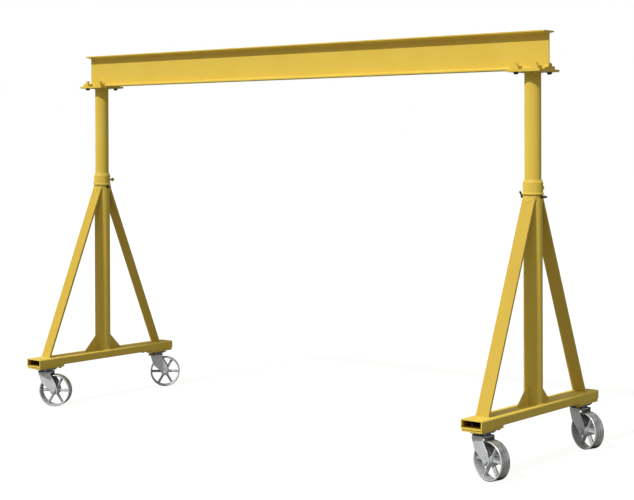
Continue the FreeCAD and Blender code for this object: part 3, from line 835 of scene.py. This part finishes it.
# these beads are finer than the pipes', and stop short of corners and ends
FINE_THROAT, CORNER_GAP, END_GAP, TOP_GAP = 0.0035, 0.004, 0.002, 0.0005
for i, (side, end) in enumerate(CORNERS):
    across = -1 if end == "front" else 1
    foot = leg_middle[side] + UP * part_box(f"{side}_base_tube")[1].z
    low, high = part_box(f"{side}_{end}_brace")
    half_bar, rise = (high.x - low.x) / 2, high.z - low.z
    foot_out = max(abs(low.y), abs(high.y))
    top_out = math.sqrt(sleeve_radius**2 - half_bar**2) + BRACE_SHOW
    slope = (foot_out - top_out) / rise
    bar_deep = BRACE_THICK * math.sqrt(1 + slope**2)

    def on_pipe(x, deep):
        """Where a face of the bar, this deep inside its outer one, meets the pipe."""
        reach = math.sqrt(sleeve_radius**2 - x**2)
        return Vector((foot.x + x, across * reach, high.z - (reach + deep - top_out) / slope))

    cuts = 24
    steps = [half_bar * (2 * k / cuts - 1) for k in range(cuts + 1)]
    outer = [on_pipe(x, 0.0) for x in steps if sleeve_radius**2 - x**2 > (top_out + TOP_GAP) ** 2]
    inner = [on_pipe(x, bar_deep) for x in steps]
    corners = [
        Vector((foot.x + x, across * y, foot.z))
        for x, y in (
            (-half_bar, foot_out),
            (half_bar, foot_out),
            (half_bar, foot_out - bar_deep),
            (-half_bar, foot_out - bar_deep),
        )
    ]
    under = [Vector((p.x, p.y, high.z - CORNER_GAP)) for p in (inner[0], inner[-1])]
    paths = [(outer, False), ([under[0], *inner, under[1]], False), (corners, True)]
    weld(f"{side}_{end}_brace_weld", paths, f"{side}_leg", 61 + i, throat=FINE_THROAT)

    low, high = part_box(f"{side}_{end}_gusset")
    back, tip = (low.y, high.y) if across > 0 else (high.y, low.y)
    paths = []
    for x in (low.x, high.x):
        upright = [Vector((x, back, foot.z + CORNER_GAP)), Vector((x, back, high.z - END_GAP))]
        along_foot = [Vector((x, back + across * CORNER_GAP, foot.z)), Vector((x, tip, foot.z))]
        paths += [(upright, False), (along_foot, False)]
    weld(f"{side}_{end}_gusset_weld", paths, f"{side}_leg", 71 + i, throat=FINE_THROAT)

    low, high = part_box(f"{side}_{end}_pad")
    inside, outside = (high.y, low.y) if across < 0 else (low.y, high.y)
    edge = [
        Vector((low.x, outside, high.z)),
        Vector((low.x, inside, high.z)),
        Vector((high.x, inside, high.z)),
        Vector((high.x, outside, high.z)),
    ]
    paths = [(edge[:2], False), (edge[1:3], False), (edge[2:], False), ([edge[0], edge[3]], False)]
    weld(f"{side}_{end}_pad_weld", paths, f"{side}_leg", 81 + i, throat=FINE_THROAT)
    middle_x = (low.x + high.x) / 2
    grow(
        f"{side}_{end}_pad_bolts",
        seats_mesh(
            [
                (Vector((middle_x + way * PAD_BOLT_OUT, inside + across * PAD_BOLT_IN, low.z)), DOWN)
                for way in (-1, 1)
            ]
        ),
        hex_fasteners,
        f"{side}_leg",
        "safety_paint",
        Flats=0.0190,
        Height=0.0080,
        Washer=0.026,
        Washer_Height=0.0020,
        Thread=0.0127,
        Pitch=0.0020,
        Reach=0.0,
        Seed=91 + i,
        Material=plate_enamel,
    )

for i, side in enumerate(SIDES):
    foot = leg_middle[side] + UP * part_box(f"{side}_base_tube")[1].z
    ring = circle_path(foot + UP * BEAD_OUT, sleeve_radius + BEAD_OUT)
    weld(f"{side}_sleeve_weld", [ring], f"{side}_leg", 41 + i)


# Casters
# Top plate, ball race and kingpin are forged steel; so is the fork, in one piece with its corners
# rounded by the die. All is bright zinc, dulled by handling. Four 3/8 in bolts hold each plate.

# a pale, satin skin with a faint 4 mm mottle; the plates, which sit in shadow under the tubes, take a
# darker grey copy of it as painted shade
ZINC_TONES, SHADED_ZINC_TONES = ("#D0D3D6", "#EAECED"), ("#7F8188", "#A2A4AB")
dull_zinc = metal_finish("bright_zinc_on_steel", ZINC_TONES, (0.36, 0.52), 0.004, metallic=0.45)
shade_darkened_zinc = metal_finish("shade_darkened_zinc_on_plate", SHADED_ZINC_TONES, (0.36, 0.52), 0.004, metallic=0.7)


def rounded_copy(node, seat, turn, voxel, passes):
    """A node's shape in its own frame, its edges and inside corners rounded as a casting's are."""
    shape = bmesh.new()
    shape.from_mesh(nodes[node].data)
    bmesh.ops.remove_doubles(shape, verts=shape.verts, dist=1e-6)
    shape.transform(Matrix.Rotation(-turn, 4, "Z") @ Matrix.Translation(-seat))
    mesh = bpy.data.meshes.new(node)
    shape.to_mesh(mesh)
    shape.free()
    host = bpy.data.objects.new(node, mesh)
    bpy.context.scene.collection.objects.link(host)
    recast = host.modifiers.new("recast", "REMESH")
    recast.mode = "VOXEL"
    recast.voxel_size = voxel
    recast.use_smooth_shade = True
    fettle = host.modifiers.new("fettle", "SMOOTH")
    fettle.factor = 0.5
    fettle.iterations = passes
    made = bpy.data.meshes.new_from_object(host.evaluated_get(bpy.context.evaluated_depsgraph_get()))
    bpy.data.objects.remove(host)
    return made


joints = {joint["name"]: joint for joint in frame["joints"]}
axle_place, caster_turn, kingpin_place = {}, {}, {}
for corner in CORNERS:
    name = "_".join(corner)
    spin = joints[f"{name}_wheel_spin"]
    axle_place[corner] = Vector(spin["pos_m"])
    caster_turn[corner] = math.atan2(-spin["axis"][0], spin["axis"][1])
    kingpin_place[corner] = Vector((*joints[f"{name}_swivel_turn"]["pos_m"][:2], 0.0))

first = CORNERS[0]
forging = rounded_copy(
    "left_front_fork", kingpin_place[first], caster_turn[first], voxel=0.0016, passes=4
)
# the plate's thickness, its bolts' distance from its middle each way, and half the fork's width
PLATE_THICK, PLATE_BOLT_OUT, FORK_OUT = 0.0095, 0.038, 0.0433
PLATE_BOLT = dict(Flats=0.0143, Thread=0.0095, Pitch=0.0016)
AXLE_NUT = dict(
    Flats=0.0238, Height=0.0082, Washer=0.0318, Washer_Height=0.0018, Thread=0.0159, Pitch=0.0018
)
KINGPIN_NUT = dict(
    Flats=0.0315, Height=0.0090, Washer=0.0316, Washer_Height=0.0002, Thread=0.0190, Pitch=0.0021
)
for i, corner in enumerate(CORNERS):
    side, end = corner
    leg, swivel = f"{side}_leg", f"{side}_{end}_swivel"
    # the plates take the darker zinc copy, painted shade for their place under the tubes
    finish_node(f"{side}_{end}_caster_plate", shade_darkened_zinc)
    finish_node(f"{side}_{end}_axle", dull_zinc)
    fork = forging.copy()
    kingpin = kingpin_place[corner]
    fork.transform(Matrix.Translation(kingpin) @ Matrix.Rotation(caster_turn[corner], 4, "Z"))
    fork_piece = add_piece(f"{side}_{end}_forged_fork", fork, dull_zinc, swivel)
    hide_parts(f"{side}_{end}_fork")
    along = Matrix.Rotation(caster_turn[corner], 3, "Z") @ Vector((0, 1, 0))
    grow(
        f"{side}_{end}_axle_nuts",
        seats_mesh([(axle_place[corner] + along * way * FORK_OUT, along * way) for way in (-1, 1)]),
        hex_fasteners,
        swivel,
        "plated_steel",
        Reach=0.0,
        Seed=101 + i,
        Material=dull_zinc,
        **AXLE_NUT,
    )
    plate_low, plate_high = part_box(f"{side}_{end}_caster_plate")
    nut_top = plate_low.z + KINGPIN_NUT["Height"]
    grow(
        f"{side}_{end}_kingpin_nut",
        seats_mesh([(kingpin + UP * nut_top, DOWN)]),
        hex_fasteners,
        leg,
        "plated_steel",
        Reach=0.0,
        Seed=111 + i,
        Material=dull_zinc,
        **KINGPIN_NUT,
    )
    corners = [kingpin + Vector((a, b, 0)) * PLATE_BOLT_OUT for a in (-1, 1) for b in (-1, 1)]
    plate_under = plate_high.z - PLATE_THICK
    grow(
        f"{side}_{end}_plate_bolt_heads",
        seats_mesh([(spot + UP * plate_under, DOWN) for spot in corners]),
        hex_fasteners,
        leg,
        "plated_steel",
        Height=0.0058,
        Washer=0.0190,
        Washer_Height=0.0012,
        Reach=0.0,
        Seed=121 + i,
        Material=dull_zinc,
        **PLATE_BOLT,
    )
    tube_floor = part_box(f"{side}_base_tube")[0].z + TUBE_WALL
    grow(
        f"{side}_{end}_plate_bolt_nuts",
        seats_mesh([(spot + UP * tube_floor, UP) for spot in corners]),
        hex_fasteners,
        leg,
        "plated_steel",
        Height=0.0083,
        Washer=0.0205,
        Washer_Height=0.0016,
        Reach=0.0150,
        Seed=131 + i,
        Material=dull_zinc,
        **PLATE_BOLT,
    )


# Wheels
# Each is one iron casting, with six cross-shaped spokes, in silver paint. Its edges are round from
# the sand, and its tread and faces are turned, so fine rings run round the tread.

SILVER_TONES = ("#C6C8C9", "#E2E3E3")
TREAD_TONES = ("#808284", "#FCFCFC")
casting = rounded_copy(
    "left_front_wheel", axle_place[first], caster_turn[first], voxel=0.002, passes=5
)
wheel_radius = half_size("left_front_wheel").z
# half the tread's width and the round on its edges; how far in the rounding may have drawn the
# tread, and how near its edge and its radius a face must be to count as turned
RIM_HALF, TREAD_ROUND = 0.03175, 0.0025
DRAWN_IN, TURNED_EDGE, TURNED_SKIN = 0.0016, 0.001, 0.0012
for vertex in casting.vertices:
    spot = vertex.co
    reach = math.hypot(spot.x, spot.z)
    if reach > wheel_radius - DRAWN_IN and abs(spot.y) < RIM_HALF - TREAD_ROUND:
        spot.x, spot.z = spot.x * wheel_radius / reach, spot.z * wheel_radius / reach
turned_faces = [
    int(
        math.hypot(face.center.x, face.center.z) > wheel_radius - TURNED_SKIN
        and abs(face.center.y) < RIM_HALF - TURNED_EDGE
    )
    for face in casting.polygons
]
for corner in CORNERS:
    name = "_".join(corner)
    seat = (axle_place[corner], caster_turn[corner])
    # silver paint on sand-cast iron: pale, with a soft sheen and 3 mm pits and lumps
    silver = metal_finish(
        f"silver_paint_on_{name}_iron",
        SILVER_TONES,
        (0.40, 0.58),
        0.003,
        seat=seat,
        metallic=0.35,
        relief=0.0004,
    )
    # turned iron: glossier rings, 9 mm apart where real ones are nearer 1 mm, so that they show
    tread = metal_finish(
        f"turned_{name}_tread",
        TREAD_TONES,
        (0.32, 0.50),
        0.009,
        lay=(500.0, 1.0, 500.0),
        seat=seat,
        metallic=0.8,
        relief=0.0006,
    )
    wheel = casting.copy()
    wheel.transform(Matrix.Translation(seat[0]) @ Matrix.Rotation(seat[1], 4, "Z"))
    wheel_piece = add_piece(f"{name}_cast_wheel", wheel, silver, f"{name}_wheel")
    wheel.materials.append(tread)
    wheel.polygons.foreach_set("material_index", turned_faces)
    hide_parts(f"{name}_wheel")


# Studio
# A plain pale floor and backdrop. One lamp, high in front, lights the crane, and the air fills its
# shadows, mostly from the front and above. The floor glows to the camera, so that it stays pale.

FLOOR_GREY, FLOOR_SEEN, FLOOR_GLOW, AIR_WHITE = "#8C8C8A", "#636361", "#F7F7F5", "#FFFFFF"
HALF_FLOOR = 60.0
floor_mesh = bpy.data.meshes.new("studio_floor")
floor_corners = [(-1, -1), (1, -1), (1, 1), (-1, 1)]
floor_spots = [(x * HALF_FLOOR, y * HALF_FLOOR, 0) for x, y in floor_corners]
floor_mesh.from_pydata(floor_spots, [], [(0, 1, 2, 3)])
floor = bpy.data.objects.new("studio_floor", floor_mesh)
bpy.context.scene.collection.objects.link(floor)
floor_paint = bpy.data.materials.new("matt_floor_paint")
floor_paint.use_nodes = True
floor_tree = floor_paint.node_tree
floor_tree.nodes.clear()
dull = add_node(floor_tree, "ShaderNodeBsdfDiffuse", inputs={"Color": linear(FLOOR_GREY)})
pale = add_node(floor_tree, "ShaderNodeBsdfDiffuse", inputs={"Color": linear(FLOOR_SEEN)})
glow = add_node(floor_tree, "ShaderNodeEmission", inputs={"Color": linear(FLOOR_GLOW), "Strength": 1.0})
lit = add_node(floor_tree, "ShaderNodeAddShader", inputs={0: pale.outputs[0], 1: glow.outputs[0]})
seen = add_node(
    floor_tree,
    "ShaderNodeMixShader",
    inputs={
        0: add_node(floor_tree, "ShaderNodeLightPath").outputs["Is Camera Ray"],
        1: dull.outputs[0],
        2: lit.outputs[0],
    },
)
add_node(floor_tree, "ShaderNodeOutputMaterial", inputs={"Surface": seen.outputs[0]})
floor_mesh.materials.append(floor_paint)

world = bpy.data.worlds.new("studio_air")
world.use_nodes = True
air = world.node_tree
air.nodes.clear()
toward_front = add_node(
    air,
    "ShaderNodeVectorMath",
    {"operation": "DOT_PRODUCT"},
    {0: add_node(air, "ShaderNodeTexCoord").outputs["Generated"], 1: (-0.2, -0.75, 0.63)},
)
fill = add_node(
    air,
    "ShaderNodeMapRange",
    inputs={"Value": toward_front.outputs["Value"], "From Min": -1.0, "To Min": 0.12, "To Max": 0.51},
)
soft = add_node(
    air, "ShaderNodeBackground", inputs={"Color": linear(AIR_WHITE), "Strength": fill.outputs[0]}
)
white = add_node(air, "ShaderNodeBackground", inputs={"Color": linear(AIR_WHITE), "Strength": 1.0})
around = add_node(
    air,
    "ShaderNodeMixShader",
    inputs={
        0: add_node(air, "ShaderNodeLightPath").outputs["Is Camera Ray"],
        1: soft.outputs[0],
        2: white.outputs[0],
    },
)
add_node(air, "ShaderNodeOutputWorld", inputs={"Surface": around.outputs[0]})
bpy.context.scene.world = world

key_light = bpy.data.lights.new("key_light", "SUN")
key_light.energy = 2.8
key_light.angle = math.radians(2.5)
key = bpy.data.objects.new("key_light", key_light)
bpy.context.scene.collection.objects.link(key)
azimuth, elevation = math.radians(-2), math.radians(43.5)
toward_light = Vector(
    (
        math.sin(azimuth) * math.cos(elevation),
        -math.cos(azimuth) * math.cos(elevation),
        math.sin(elevation),
    )
)
key.rotation_mode = "QUATERNION"
key.rotation_quaternion = toward_light.to_track_quat("Z", "Y")

camera_data = bpy.data.cameras.new("camera")
camera_data.lens = 83.3
camera_data.sensor_width = 36.0
camera_data.shift_y = -0.145
camera_data.clip_end = 200.0
camera = bpy.data.objects.new("camera", camera_data)
bpy.context.scene.collection.objects.link(camera)
heading, pitch, roll = math.radians(39.22), math.radians(0.54), math.radians(-0.16)
ahead = Vector(
    (-math.sin(heading) * math.cos(pitch), math.cos(heading) * math.cos(pitch), -math.sin(pitch))
)
level = ahead.cross(UP).normalized()
upward = level.cross(ahead)
aside = level * math.cos(roll) + upward * math.sin(roll)
above = upward * math.cos(roll) - level * math.sin(roll)
eye = Vector((5.690, -6.731, 1.6855))
camera.matrix_world = Matrix(
    (
        (aside.x, above.x, -ahead.x, eye.x),
        (aside.y, above.y, -ahead.y, eye.y),
        (aside.z, above.z, -ahead.z, eye.z),
        (0, 0, 0, 1),
    )
)
bpy.context.scene.camera = camera
bpy.context.scene.view_settings.view_transform = "Standard"
